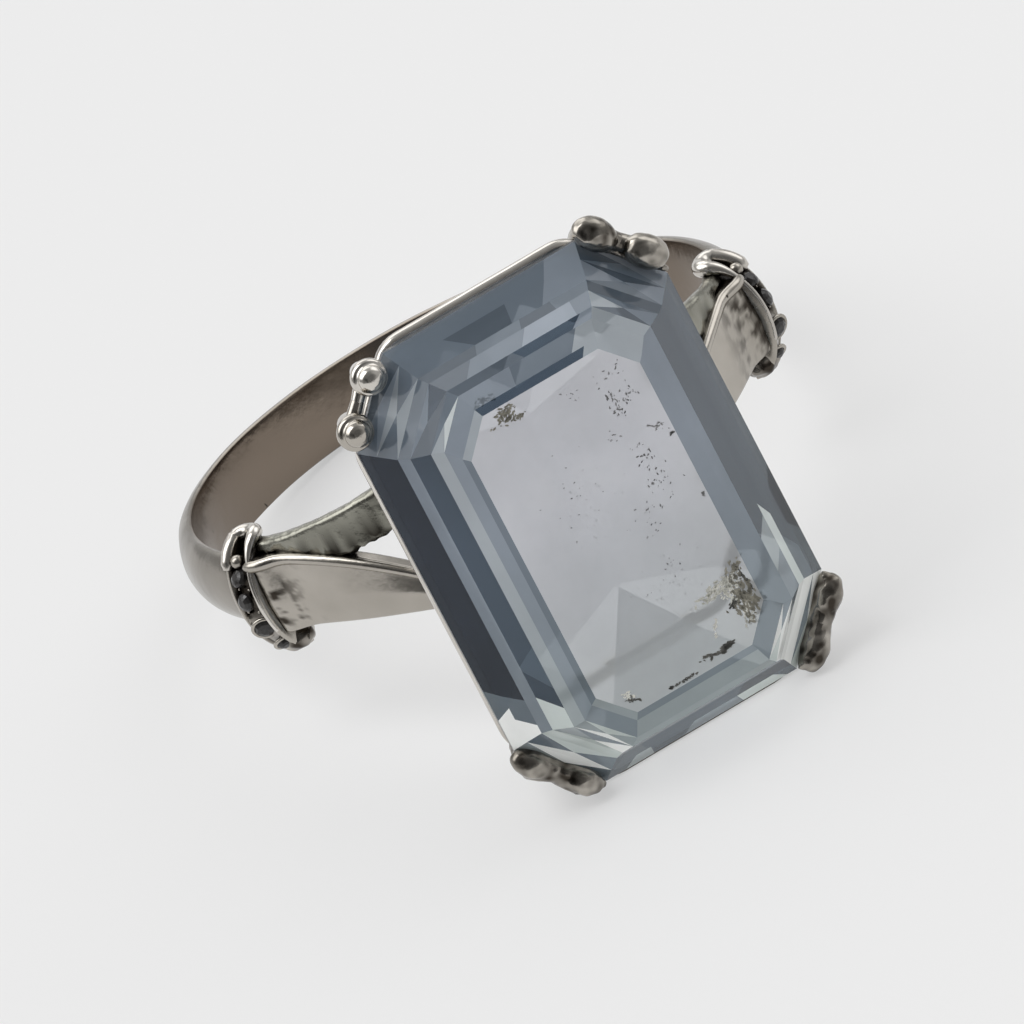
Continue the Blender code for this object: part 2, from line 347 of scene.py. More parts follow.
def piece(name, bm, material, replaces, smooth_angle=None):
    """Turn a mesh drawn in the ring's frame into a shown piece, nowhere below the floor."""
    bm.transform(TO_WORLD)
    for vert in bm.verts:
        vert.co.z = max(vert.co.z, 0.0)
    obj = add_object(name, bm)
    if smooth_angle is not None:
        obj.data.shade_smooth()
        obj.data.set_sharp_from_angle(angle=math.radians(smooth_angle))
    obj.data.materials.append(material)
    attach(obj, "root")
    if replaces:
        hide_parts(*replaces)
    return obj


def add_loft(bm, stations, closed=False):
    """Skin rings of points into one closed shell."""
    rings = [[bm.verts.new(point) for point in station] for station in stations]
    count = len(rings[0])
    made = []
    for span in range(len(rings) if closed else len(rings) - 1):
        near = rings[span]
        far = rings[(span + 1) % len(rings)]
        for i in range(count):
            j = (i + 1) % count
            made.append(bm.faces.new((near[i], near[j], far[j], far[i])))
    if not closed:
        made.append(bm.faces.new(rings[0]))
        made.append(bm.faces.new(rings[-1]))
    bmesh.ops.recalc_face_normals(bm, faces=made)
    return made


def loft(stations, closed=False):
    bm = bmesh.new()
    add_loft(bm, stations, closed)
    return bm


def circle_about(centre, direction, side, radius_a, radius_b, count):
    """Ellipse of points square to a direction, its first axis towards side."""
    up = direction.cross(side).normalized()
    flat = up.cross(direction).normalized()
    points = []
    for i in range(count):
        turn = 2 * math.pi * i / count
        points.append(centre + flat * math.cos(turn) * radius_a + up * math.sin(turn) * radius_b)
    return points


# Share of a tube's width that its end keeps, and how far that end stands out, in radii.
END_WIDTH = 0.62
END_LENGTH = 0.75


def tube_end(ring, centre, before):
    """Smaller ring beyond the last one of a tube, which rounds its end."""
    out = (centre - before).normalized()
    size = (ring[0] - centre).length
    return [centre + (point - centre) * END_WIDTH + out * size * END_LENGTH for point in ring]


def add_tube(bm, path, radius, count=12, closed=False, side=UP):
    """Round tube along a path of points, with rounded ends when it is open.

    The radius is one number, or a function of the share of the path, 0 to 1.
    """
    stations = []
    total = len(path)
    for i, point in enumerate(path):
        before = path[(i - 1) % total] if closed or i else point
        after = path[(i + 1) % total] if closed or i < total - 1 else point
        direction = (after - before).normalized()
        size = radius(i / (total - 1)) if callable(radius) else radius
        stations.append(circle_about(point, direction, side, size, size, count))
    if not closed:
        first = tube_end(stations[0], path[0], path[1])
        last = tube_end(stations[-1], path[-1], path[-2])
        stations = [first, *stations, last]
    add_loft(bm, stations, closed)


def add_dome(bm, centre, axis, side, profile, count, stretch=1.0):
    """Turned bead, wider towards its side by the stretch: profile is (height, radius)."""
    stations = []
    for height, radius in profile:
        middle = centre + axis * height
        stations.append(circle_about(middle, axis, side, radius * stretch, radius, count))
    add_loft(bm, stations)


def curve_point(start, middle, end, t):
    """Point of a curve that leaves its start, and meets its end, in line with its middle."""
    return start * (1 - t) ** 2 + middle * 2 * t * (1 - t) + end * t ** 2


def round_corners(points, radius, steps):
    """Replace each corner of a closed outline with a small curve of steps + 1 points."""
    result = []
    total = len(points)
    for i, corner in enumerate(points):
        corner = Vector(corner)
        before = Vector(points[i - 1])
        after = Vector(points[(i + 1) % total])
        reach = min(radius, (before - corner).length * 0.45, (after - corner).length * 0.45)
        start = corner + (before - corner).normalized() * reach
        end = corner + (after - corner).normalized() * reach
        result += [curve_point(start, corner, end, k / steps) for k in range(steps + 1)]
    return result


def octagon(half_x, half_y, cut, z):
    """Rectangle with cut corners, from +X round towards +Y."""
    cut_x = CUT_X * cut
    cut_y = CUT_Y * cut
    outline = (
        (half_x, half_y - cut_y),
        (half_x - cut_x, half_y),
        (cut_x - half_x, half_y),
        (-half_x, half_y - cut_y),
        (-half_x, cut_y - half_y),
        (cut_x - half_x, -half_y),
        (half_x - cut_x, -half_y),
        (half_x, cut_y - half_y),
    )
    return [Vector((x, y, z)) for x, y in outline]


def hoop_point(side, angle, radius, y):
    """Point about the finger's axis, on the right for side 1 and on the left for side -1."""
    turn = math.radians(angle)
    return Vector((side * radius * math.cos(turn), y, HOOP_Z + radius * math.sin(turn)))


def clamp(value):
    return max(0.0, min(1.0, value))


def smoothstep(low, high, value):
    """0 at low and 1 at high, smooth between them; low may be the larger."""
    t = clamp((value - low) / (high - low))
    return t * t * (3 - 2 * t)


# ---- centre stone

# Tones of facets: colour, then how clear the facet is (1 shows all that lies behind). INK to FLASH
# are painted reflections, highlights and shade over the milky colour; TABLE, HAZE, CLEAR and MILKY
# are the stone's milky colour. FLASH, a painted highlight, is above 1 because the stone's drift
# darkens the lower end, where it is used.
INK = (0.014, 0.022, 0.037, 0.45)
NAVY = (0.055, 0.085, 0.125, 0.45)
SLATE = (0.12, 0.15, 0.185, 0.45)
STEEL = (0.205, 0.25, 0.30, 0.45)
MIST = (0.345, 0.40, 0.465, 0.45)
PALE = (0.565, 0.62, 0.655, 0.45)
PEARL = (0.92, 0.98, 0.98, 0.20)
FLASH = (1.28, 1.26, 1.28, 0.0)
TABLE = (0.99, 0.99, 1.03, 0.52)
HAZE = (0.66, 0.66, 0.68, 1.0)
CLEAR = (1.0, 1.0, 1.0, 1.0)
MILKY = (0.80, 0.82, 0.83, 0.36)

# Painted reflections, highlights and shade of the crown facets on each side, from the girdle up to
# the table.
CROWN_PAINTED_LIGHT = {
    "left": (INK, INK, MIST, NAVY, PALE, MIST, STEEL),
    "right": (SLATE, SLATE, SLATE, SLATE, MIST, MIST, MIST),
    "upper": (STEEL, SLATE, STEEL, STEEL, NAVY, STEEL, NAVY),
    "lower": (PALE, NAVY, STEEL, STEEL, PALE, PALE, MIST),
    "upper_left": (SLATE, MIST, STEEL, STEEL, SLATE, MIST, PALE),
    "upper_right": (MIST, STEEL, SLATE, STEEL, PALE, PALE, PALE),
    "lower_left": (PEARL, PEARL, PEARL, PEARL, PALE, MIST, PALE),
    "lower_right": (PEARL, FLASH, FLASH, FLASH, FLASH, MIST, MIST),
}
# Tones of the pavilion's sides; its corners are clear.
PAVILION_TONES = {"left": HAZE, "right": HAZE, "upper": HAZE, "lower": MILKY}
PAVILION_FROST = 0.30
CROWN_FROST = 0.03
# The octagon's sides in the order of its points.
SIDE_ORDER = (
    "upper_right", "upper", "upper_left", "left", "lower_left", "lower", "lower_right", "right",
)
# Facets that are broken into a fan: rise of the middle, painted reflections and highlights round
# the fan.
FANS = {
    ("upper_left", 0): (0.04, (SLATE, STEEL, MIST, SLATE)),
    ("upper_left", 1): (0.04, (PALE, STEEL, PALE, STEEL)),
    ("upper_left", 3): (0.04, (MIST, SLATE, SLATE, NAVY)),
    ("upper_left", 4): (0.03, (STEEL, PALE, PEARL, STEEL)),
    ("upper_right", 0): (0.04, (MIST, SLATE, STEEL, MIST)),
    ("upper_right", 1): (0.04, (SLATE, MIST, STEEL, MIST)),
    ("upper_right", 3): (0.04, (STEEL, PALE, SLATE, MIST)),
    ("lower_left", 0): (0.05, (FLASH, STEEL, FLASH, PALE)),
    ("lower_left", 1): (0.04, (FLASH, MIST, PEARL, STEEL)),
    ("lower_left", 3): (0.04, (PEARL, FLASH, MIST, PALE)),
    ("lower_left", 4): (0.03, (FLASH, PALE, PEARL, PALE)),
    ("lower_right", 0): (0.05, (PEARL, FLASH, MIST, PEARL)),
    ("lower_right", 1): (0.02, (FLASH, FLASH, FLASH, FLASH)),
    ("lower_right", 3): (0.02, (FLASH, MIST, FLASH, FLASH)),
    ("lower_right", 4): (0.03, (FLASH, MIST, FLASH, PEARL)),
}
# Facets cut across: shares along the lower and the upper edge, then a painted reflection or shade
# for each slice.
SLICES = {
    ("upper", 0): (((0.16, 0.20), (0.40, 0.34), (0.72, 0.78)), (MIST, STEEL, STEEL, STEEL)),
    ("upper", 1): (((0.20, 0.26), (0.42, 0.44), (0.76, 0.66)), (MIST, STEEL, SLATE, STEEL)),
    ("upper", 2): (((0.22, 0.20), (0.40, 0.42), (0.66, 0.70)), (STEEL, SLATE, STEEL, SLATE)),
    ("upper", 3): (((0.12, 0.10), (0.40, 0.48), (0.74, 0.86)), (STEEL, MIST, STEEL, SLATE)),
    ("upper", 4): (((0.08, 0.14), (0.55, 0.50)), (MIST, NAVY, SLATE)),
    ("upper", 5): (((0.12, 0.20), (0.62, 0.66)), (PALE, STEEL, MIST)),
    ("upper", 6): (((0.10, 0.13),), (PALE, NAVY)),
    ("lower", 0): (
        ((0.10, 0.14), (0.25, 0.22), (0.41, 0.46), (0.72, 0.70), (0.95, 0.90)),
        (SLATE, PALE, NAVY, MIST, PEARL, NAVY),
    ),
    ("lower", 1): (((0.20, 0.14), (0.70, 0.76)), (SLATE, NAVY, INK)),
    ("lower", 2): (((0.66, 0.60),), (SLATE, NAVY)),
    ("left", 0): (((0.80, 0.84), (0.90, 0.88)), (INK, STEEL, FLASH)),
    ("left", 1): (((0.84, 0.88), (0.92, 0.97)), (INK, STEEL, FLASH)),
    ("left", 3): (((0.88, 0.93),), (NAVY, PEARL)),
    ("right", 0): (((0.14, 0.18), (0.36, 0.30)), (SLATE, INK, SLATE)),
    ("right", 1): (((0.10, 0.16),), (STEEL, SLATE)),
    ("right", 2): (((0.24, 0.30),), (PEARL, SLATE)),
    ("right", 3): (((0.14, 0.10), (0.26, 0.22)), (MIST, PALE, SLATE)),
}


# Points of the stone closer together than this are one point.
SAME_PLACE = 1e-5


def fan_out(bm, face, layer, rise, tones):
    """Split a facet into triangles round a raised middle."""
    normal = face.normal.copy()
    made = bmesh.ops.poke(bm, faces=[face])
    made["verts"][0].co += normal * rise
    for part, tone in zip(made["faces"], tones):
        part[layer] = tone


def vertex_along(face, start, end, share):
    """Vertex on one straight border of a facet, cut into it where there is none yet."""
    target = start.co.lerp(end.co, share)
    for edge in face.edges:
        first, second = edge.verts
        for vert in (first, second):
            if (vert.co - target).length < SAME_PLACE:
                return vert
        length = edge.calc_length()
        detour = (first.co - target).length + (second.co - target).length - length
        if detour < SAME_PLACE:
            part = (first.co - target).length / length
            return bmesh.utils.edge_split(edge, first, part)[1]
    raise ValueError("the cut doesn't start on the facet's border")


def slice_across(face, layer, corners, cuts, tones):
    """Split a facet from its lower edge to its upper edge."""
    low_start, low_end, high_end, high_start = corners
    rest = face
    pieces = []
    for low_share, high_share in cuts:
        low = vertex_along(rest, low_start, low_end, low_share)
        high = vertex_along(rest, high_start, high_end, high_share)
        other = bmesh.utils.face_split(rest, low, high)[0]
        if low_end in other.verts:
            pieces.append(rest)
            rest = other
        else:
            pieces.append(other)
    pieces.append(rest)
    for part, tone in zip(pieces, tones):
        part[layer] = tone


def build_stone(material):
    """Step-cut stone whose facets hold their own painted reflection or shade, some of them broken
    up.
    """
    steps = tuple(reversed(PAVILION)) + CROWN
    stations = []
    for z, inset_x, inset_y, cut in steps:
        stations.append(octagon(STONE_X - inset_x, STONE_Y - inset_y, cut, z))
    bm = bmesh.new()
    layer = bm.faces.layers.float_color.new("painted_facet_light")
    frost = bm.faces.layers.float.new("frost")
    faces = add_loft(bm, stations)
    bm.normal_update()
    keel, table = faces[-2:]
    keel[layer] = HAZE
    table[layer] = TABLE
    keel[frost] = PAVILION_FROST
    table[frost] = CROWN_FROST
    broken = []
    for index, face in enumerate(faces[:-2]):
        span, turn = divmod(index, len(SIDE_ORDER))
        band = span - len(PAVILION)
        side = SIDE_ORDER[turn]
        if band >= 0:
            # Crown facets take painted reflections, highlights and shade.
            face[layer] = CROWN_PAINTED_LIGHT[side][band]
            face[frost] = CROWN_FROST
        else:
            face[layer] = PAVILION_TONES.get(side, CLEAR)
            face[frost] = PAVILION_FROST
        if (side, band) in FANS or (side, band) in SLICES:
            broken.append((face, list(face.verts), (side, band)))
    for face, corners, key in broken:
        if key in SLICES:
            slice_across(face, layer, corners, *SLICES[key])
        else:
            fan_out(bm, face, layer, *FANS[key])
    bmesh.ops.recalc_face_normals(bm, faces=bm.faces)
    stone = piece("step_cut_stone", bm, material, ["centre_stone"])
    stone.visible_shadow = False


# Depths of flakes below the table: just under it, or well inside the stone.
SKIN = 0.004
BURIED = 0.60
# Clusters of flakes: middle x and y, half length, half width, turn in degrees, how many flakes,
# size of a flake, seed, and depth where they aren't just under the table.
BROWN_SPOT = (
    (-1.50, 5.16, 0.42, 0.22, 20.0, 60, 0.055, 1),
    (-1.15, 4.95, 0.24, 0.16, 10.0, 20, 0.050, 2),
    (-1.80, 5.75, 0.34, 0.12, 0.0, 24, 0.050, 3, BURIED),
    (2.62, -4.05, 0.76, 0.42, 100.0, 130, 0.078, 4),
    (2.72, -3.05, 0.34, 0.20, 40.0, 30, 0.070, 5),
)
STREAKS = (
    (1.07, -5.17, 0.62, 0.10, 0.0, 46, 0.060, 6),
    (1.45, -5.12, 0.26, 0.12, 0.0, 22, 0.060, 7),
    (-0.37, -5.40, 0.60, 0.04, 0.0, 34, 0.045, 8),
    (-2.05, -5.10, 0.36, 0.07, 330.0, 22, 0.045, 9),
    (2.25, -4.02, 0.22, 0.12, 20.0, 24, 0.060, 10),
    (2.92, -3.60, 0.36, 0.05, 100.0, 22, 0.045, 11),
)
FEATHER = (
    (1.93, -3.36, 0.70, 0.20, 12.0, 110, 0.066, 12),
    (2.30, -3.62, 0.40, 0.26, 70.0, 50, 0.060, 13),
    (1.35, -4.40, 0.40, 0.06, 60.0, 16, 0.045, 14),
    (2.45, -4.60, 0.44, 0.28, 100.0, 34, 0.052, 15),
    (-2.15, -4.90, 0.34, 0.12, 330.0, 16, 0.050, 16),
)
SPECKS = (
    (2.23, 4.70, 0.40, 0.30, 20.0, 12, 0.034, 17),
    (1.93, 3.80, 0.44, 0.40, 80.0, 30, 0.036, 18),
    (2.44, 3.72, 0.30, 0.20, 300.0, 12, 0.034, 19),
    (1.80, 3.35, 0.24, 0.20, 0.0, 12, 0.034, 20),
    (2.62, 2.35, 0.46, 0.14, 330.0, 18, 0.034, 21),
    (2.97, 1.90, 0.04, 0.04, 0.0, 8, 0.050, 22),
    (1.23, 2.80, 0.20, 0.34, 10.0, 8, 0.030, 23),
    (1.95, 1.85, 0.30, 0.40, 40.0, 16, 0.034, 24),
    (0.68, 4.60, 0.40, 0.24, 350.0, 8, 0.028, 25),
    (2.95, -0.40, 0.08, 0.05, 60.0, 6, 0.045, 26),
    (1.95, 0.90, 0.80, 0.50, 80.0, 34, 0.030, 27),
    (1.20, -0.10, 0.70, 0.60, 20.0, 22, 0.030, 30),
    (-0.90, 1.60, 1.10, 1.50, 10.0, 20, 0.026, 31),
    (0.80, -1.90, 1.10, 0.60, 30.0, 14, 0.026, 32),
    (-0.60, 1.20, 1.30, 1.90, 10.0, 80, 0.024, 28, BURIED),
    (0.60, -3.00, 1.60, 1.10, 30.0, 60, 0.024, 29, BURIED),
)


# How far a flake's middle keeps from the table's edges, and from its corners as a share of the cut.
EDGE_ROOM = 0.09
CORNER_ROOM = 0.12


def on_table(x, y):
    """Whether a small flake at this place stays within the stone's table."""
    _, inset_x, inset_y, cut = CROWN[-1]
    off_x = abs(x) - (STONE_X - inset_x)
    off_y = abs(y) - (STONE_Y - inset_y)
    corner = off_x / (CUT_X * cut) + off_y / (CUT_Y * cut)
    return max(off_x, off_y) < -EDGE_ROOM and corner < -1.0 - CORNER_ROOM


FLAKE_SIDES = 8
# Height of a flake's rings and the share of its size that they have.
FLAKE_RINGS = ((-0.012, 0.5), (0.0, 1.0), (0.012, 0.5))


def add_flake(bm, x, y, depth, half_length, half_width, turn, seed):
    """Thin ragged lens lying parallel to the table."""
    centre = Vector((x, y, TABLE_Z - depth))
    angle = math.radians(turn)
    along = Vector((math.cos(angle), math.sin(angle), 0.0))
    across = Vector((-math.sin(angle), math.cos(angle), 0.0))
    stations = []
    for height, size in FLAKE_RINGS:
        ring = []
        for i in range(FLAKE_SIDES):
            bearing = 2 * math.pi * i / FLAKE_SIDES
            ragged = 0.8 + 0.45 * noise.noise(Vector((seed, i * 0.9, 0.3)))
            ring.append(
                centre
                + along * math.cos(bearing) * half_length * size * ragged
                + across * math.sin(bearing) * half_width * size * ragged
                + Vector((0.0, 0.0, height))
            )
        stations.append(ring)
    add_loft(bm, stations)


# Flakes of a cluster: spread, smallest and largest share of the size, length, width, lean.
CLUSTER_SPREAD = 0.5
FLAKE_SHARES = (0.6, 1.6)
FLAKE_LENGTH = 1.5
FLAKE_WIDTH = 0.7
FLAKE_LEAN = 50.0


def add_cluster(bm, x, y, half_length, half_width, turn, count, size, seed, depth=SKIN):
    """Fuzzy cloud of small flakes, thickest in its middle."""
    draw = random.Random(seed)
    angle = math.radians(turn)
    for i in range(count):
        along = draw.gauss(0.0, CLUSTER_SPREAD) * half_length
        across = draw.gauss(0.0, CLUSTER_SPREAD) * half_width
        flake_x = x + along * math.cos(angle) - across * math.sin(angle)
        flake_y = y + along * math.sin(angle) + across * math.cos(angle)
        half = size * draw.uniform(*FLAKE_SHARES)
        flake_depth = depth if on_table(flake_x, flake_y) else BURIED
        lean = turn + draw.uniform(-FLAKE_LEAN, FLAKE_LEAN)
        extent = (half * FLAKE_LENGTH, half * FLAKE_WIDTH)
        add_flake(bm, flake_x, flake_y, flake_depth, *extent, lean, seed + i)


# Flaws: piece, clusters, material, its darkest and lightest colour, roughness.
FLAWS = (
    ("brown_spot", BROWN_SPOT, "stone_brown_flaw", (0.13, 0.125, 0.10), (0.40, 0.38, 0.31), 0.5),
    ("feather", FEATHER, "stone_feather", (0.50, 0.50, 0.44), (1.0, 0.99, 0.91), 0.3),
    ("streaks", STREAKS, "stone_streaks", (0.03, 0.03, 0.027), (0.18, 0.18, 0.16), 0.4),
    ("specks", SPECKS, "stone_specks", (0.10, 0.10, 0.10), (0.32, 0.32, 0.32), 0.4),
)


def build_inclusions():
    """The stone's flaws, one piece for each kind."""
    for name, clusters, look, dark, light, rough in FLAWS:
        material = patchy_material(look, 2600.0, 5.0, (0.35, dark), (0.65, light), rough)
        bm = bmesh.new()
        for cluster in clusters:
            add_cluster(bm, *cluster)
        piece(f"inclusion_{name}", bm, material, None, 60.0)


# ---- metalwork


def shank_outline():
    """Section of the band as (y, height): a half-round back over a flat with soft edges."""
    rise = SHANK_RISE - SIDE_WALL
    outline = []
    for i in range(25):
        turn = math.pi * i / 24
        outline.append((SHANK_HALF * math.cos(turn), SIDE_WALL + rise * math.sin(turn)))
    soft_edge = ((0.05, 0.03), (0.20, 0.0))
    outline += [(inset - SHANK_HALF, height) for inset, height in soft_edge]
    outline += [(SHANK_HALF - inset, height) for inset, height in reversed(soft_edge)]
    return outline


SHANK_WEAR = 0.03
SHANK_SAG = 0.02
# Height above the inside of the band from which it is worn.
SHANK_BACK = 0.2


def build_shank(material):
    """Half-round band, a little uneven with wear, brown and darkened inside (tarnish and painted
    shade) and sooty outside.
    """
    end = COLLAR_ANGLE + COLLAR_HALF * 0.5
    start = 180.0 - end
    sweep = 360.0 - start + end
    count = 180
    stations = []
    for i in range(count + 1):
        angle = start + sweep * i / count
        worn = SHANK_WEAR * noise.noise(Vector((angle * 0.05, 0.0, 2.0)))
        ring = []
        for y, height in shank_outline():
            sag = SHANK_SAG * noise.noise(Vector((angle * 0.11, y * 0.8, height)))
            lift = height * (1.0 - SHANK_SAG - abs(worn))
            if height > SHANK_BACK:
                lift += sag - SHANK_SAG
            ring.append(hoop_point(1, angle, HOOP_INNER + lift, y * (1.0 + worn * 0.5)))
        stations.append(ring)
    bm = loft(stations)
    layer = bm.verts.layers.float.new("inside")
    soot_and_shade = bm.verts.layers.float.new("soot_and_shade")
    for vert in bm.verts:
        radius = math.hypot(vert.co.x, vert.co.z - HOOP_Z)
        inside = 1.0 - smoothstep(HOOP_INNER + 0.02, HOOP_INNER + 0.10, radius)
        # Where the band's inside takes its darker colour: tarnish and painted shade.
        vert[layer] = inside
        vert[soot_and_shade] = (1.0 - inside) * (0.42 + 0.22 * noise.noise(vert.co * 0.45))
    piece("shank_band", bm, material, ["shank"], 40.0)


def collar_wall(arch):
    """Inner and outer (y, radius) of a collar at one place on its arch over the shank."""
    turn = math.radians(arch)
    base = HOOP_INNER + SIDE_WALL
    inner_y = SHANK_HALF + SEAM
    inner_rise = SHANK_RISE - SIDE_WALL + SEAM
    inner = Vector((inner_y * math.cos(turn), base + inner_rise * math.sin(turn)))
    outer_y = inner_y + COLLAR_SIDE
    outer_rise = inner_rise + COLLAR_TOP
    outer = Vector((outer_y * math.cos(turn), base + outer_rise * math.sin(turn)))
    return inner, outer


def collar_point(side, arch, share, along):
    """Point of a collar: arch in degrees, share through the wall, along its length -1..1."""
    inner, outer = collar_wall(arch)
    y, radius = inner.lerp(outer, share)
    return hoop_point(side, COLLAR_ANGLE + along * COLLAR_HALF, radius, y)


# Collar section: share through the wall, place along the hoop (-1 shank, 1 arm), soot.
CUFF_SECTION = (
    (0.0, -1.0, 0.0),
    (0.0, 1.0, 0.0),
    (0.50, 1.0, 0.2),
    (0.84, 0.97, 0.0),
    (0.95, 0.88, 0.0),
    (0.95, 0.76, 0.0),
    (0.80, 0.67, 0.3),
    (0.46, 0.60, 1.0),
    (0.38, 0.30, 1.0),
    (0.38, -0.22, 1.0),
    (0.46, -0.46, 1.0),
    (0.84, -0.52, 0.3),
    (0.95, -0.58, 0.0),
    (0.96, -0.68, 0.0),
    (0.86, -0.84, 0.0),
    (0.64, -1.02, 0.0),
    (0.36, -1.20, 0.0),
    (0.14, -1.40, 0.0),
)
# The groove's points lie below this share of the wall. Where it is filled they rise to its brim.
GROOVE_SHARE = 0.84
BRIM_SHARE = 0.88
# Arches in degrees: where the cuff starts and how far it goes, and where the filling starts and
# is full, because the last two stones sit in a solid swelling.
CUFF_START = -4.0
CUFF_SWEEP = 188.0
TIP_START = 92.0
TIP_FULL = 108.0
# Lump at the end of a cuff: its arch, place along the hoop, and size out, across and along.
TIP_ARCH = 166.0
TIP_ALONG = 0.15
TIP_SIZE = (0.48, 0.62, 0.74)
# Polished rim: arches of its start, turn and end, how far the turn dips below them, its share
# through the wall, its place along the hoop before the turn, half the turn's width, its place
# along the hoop after the turn, and how thick it is on each side.
RIM_START = 46.0
RIM_TURN = 10.0
RIM_END = 118.0
RIM_DIP = 17.0
RIM_SHARE = 0.86
RIM_BEFORE = -0.66
RIM_REACH = 0.744
RIM_AFTER = 0.84
RIM_THICKNESS = {-1: 1.05, 1: 1.25}
# Grains left in the groove: arch, place along the hoop, radius.
GRAINS = (
    (42.0, 0.02, 0.24), (72.0, 0.36, 0.06), (71.0, -0.34, 0.05), (60.0, 0.30, 0.05),
    (97.0, 0.40, 0.08), (96.0, -0.38, 0.07), (84.0, -0.40, 0.05), (52.0, -0.32, 0.06),
)
BIG_GRAIN = 0.2
# Bezels of the last two stones: which stone, radius.
BEZELS = ((2, 0.40), (3, 0.31))


def add_tip(bm, side, soot_and_shade):
    """Rounded, blackened lump that closes the lower end of a collar."""
    centre = collar_point(side, TIP_ARCH, 0.5, TIP_ALONG)
    outward = (collar_point(side, TIP_ARCH, 1.0, TIP_ALONG) - centre).normalized()
    along = (collar_point(side, TIP_ARCH, 0.5, 1.0) - centre).normalized()
    axes = (outward, outward.cross(along), along)
    shape = Matrix([axis * size for axis, size in zip(axes, TIP_SIZE)]).transposed().to_4x4()
    made = bmesh.ops.create_icosphere(
        bm, subdivisions=5, radius=1.0, matrix=Matrix.Translation(centre) @ shape
    )
    for vert in made["verts"]:
        patch = noise.noise(vert.co * 2.2)
        vert.co += (vert.co - centre) * 0.10 * noise.noise(vert.co * 3.4)
        vert[soot_and_shade] = clamp(0.50 + 1.3 * patch)


def build_cuff(side, material):
    """Cuff that flares out of the shank, with a dark groove between its edges."""
    bm = bmesh.new()
    soot_and_shade = bm.verts.layers.float.new("soot_and_shade")
    stations = []
    filled = []
    for i in range(65):
        arch = CUFF_START + CUFF_SWEEP * i / 64
        from_start = arch - CUFF_START
        closing = max(smoothstep(12.0, 0.0, from_start), smoothstep(TIP_START, TIP_FULL, arch))
        narrow = 0.12 * smoothstep(16.0, 0.0, from_start) + 0.30 * smoothstep(140.0, 184.0, arch)
        ring = []
        for share, along, _ in CUFF_SECTION:
            if 0.3 < share < GROOVE_SHARE and abs(along) < 0.7:
                share += (BRIM_SHARE - share) * closing
            ring.append(collar_point(side, arch, share, along * (1.0 - narrow)))
        stations.append(ring)
        filled.append(closing)
    add_loft(bm, stations)
    bm.verts.ensure_lookup_table()
    for i, vert in enumerate(bm.verts):
        station, place = divmod(i, len(CUFF_SECTION))
        vert[soot_and_shade] = CUFF_SECTION[place][2] * (1.0 - 0.6 * filled[station])
    add_tip(bm, side, soot_and_shade)
    hand = HANDS[side]
    piece(f"cuff_{hand}", bm, material, [f"collar_{hand}"], 50.0)


def build_rim(side, material):
    """Polished rim: from the shank's side, round the end, and down the arm's side."""
    path = []
    for i in range(10):
        arch = RIM_START + (RIM_TURN - RIM_START) * i / 10
        path.append(collar_point(side, arch, RIM_SHARE, RIM_BEFORE))
    for i in range(13):
        turn = math.pi * i / 12
        along = RIM_BEFORE + RIM_REACH * (1 - math.cos(turn))
        path.append(collar_point(side, RIM_TURN - RIM_DIP * math.sin(turn), BRIM_SHARE, along))
    for i in range(1, 41):
        arch = RIM_TURN + (RIM_END - RIM_TURN) * i / 40
        path.append(collar_point(side, arch, RIM_SHARE, RIM_AFTER))

    def radius(share):
        return RIM_THICKNESS[side] * (0.07 + 0.16 * smoothstep(0.62, 0.30, share))

    bm = bmesh.new()
    add_tube(bm, path, radius, count=16, side=Vector((side * 0.9, 0.0, 0.45)))
    piece(f"cuff_{HANDS[side]}_rim", bm, material, None, 50.0)


def build_grains(side, material):
    """Grains of metal in the groove, and the bezels of the last two stones."""
    bm = bmesh.new()
    for arch, along, size in GRAINS:
        share = 0.80 if size > BIG_GRAIN else 0.66
        place = Matrix.Translation(collar_point(side, arch, share, along))
        bmesh.ops.create_icosphere(bm, subdivisions=3, radius=size, matrix=place)
    for index, radius in BEZELS:
        base, axis = accent_seat(side, index)
        bezel = circle_about(base + axis * 0.20, axis, FINGER, radius, radius, 28)
        add_tube(bm, bezel, 0.07, count=10, closed=True, side=axis)
    piece(f"cuff_{HANDS[side]}_grains", bm, material, None, 60.0)


def accent_seat(side, index):
    """Foot and axis of an accent stone; the last two lean towards the arm."""
    arch = ACCENTS[index]
    in_tip = index > 1
    foot = collar_point(side, arch, 0.66 if in_tip else 0.50, 0.14 if in_tip else 0.0)
    axis = (collar_point(side, arch, 1.0, 0.0) - collar_point(side, arch, 0.5, 0.0)).normalized()
    if in_tip:
        along = collar_point(side, arch, 0.5, 1.0) - collar_point(side, arch, 0.5, 0.0)
        axis = (axis + along.normalized() * TIP_LEAN).normalized()
    return foot, axis


# Accent stone: height, share of its radius.
ACCENT_PROFILE = ((0.02, 0.3), (0.15, 1.0), (0.26, 1.0), (0.34, 0.78), (0.39, 0.42))
SQUARER_ACCENT = 2


def build_accents(side, material):
    """Small dark stones of one collar."""
    for index, radius in enumerate(ACCENT_RADII):
        base, axis = accent_seat(side, index)
        across = axis.cross(FINGER).normalized()
        profile = [(height, radius * share) for height, share in ACCENT_PROFILE]
        bm = bmesh.new()
        add_dome(bm, base, axis, across, profile, count=8 if index == SQUARER_ACCENT else 16)
        label = f"{HANDS[side]}_{index + 1}"
        node = f"accent_stone_{label}"
        piece(f"dark_stone_{label}", bm, material, [node])


def arm_edge(values, share):
    """Smooth curve through an edge's places at the collar, the fork and the gallery."""
    start, fork, end = values
    a = start * (share - FORK) * (share - 1.0) / FORK
    b = fork * share * (share - 1.0) / (FORK * (FORK - 1.0))
    c = end * share * (share - FORK) / (1.0 - FORK)
    return a + b + c


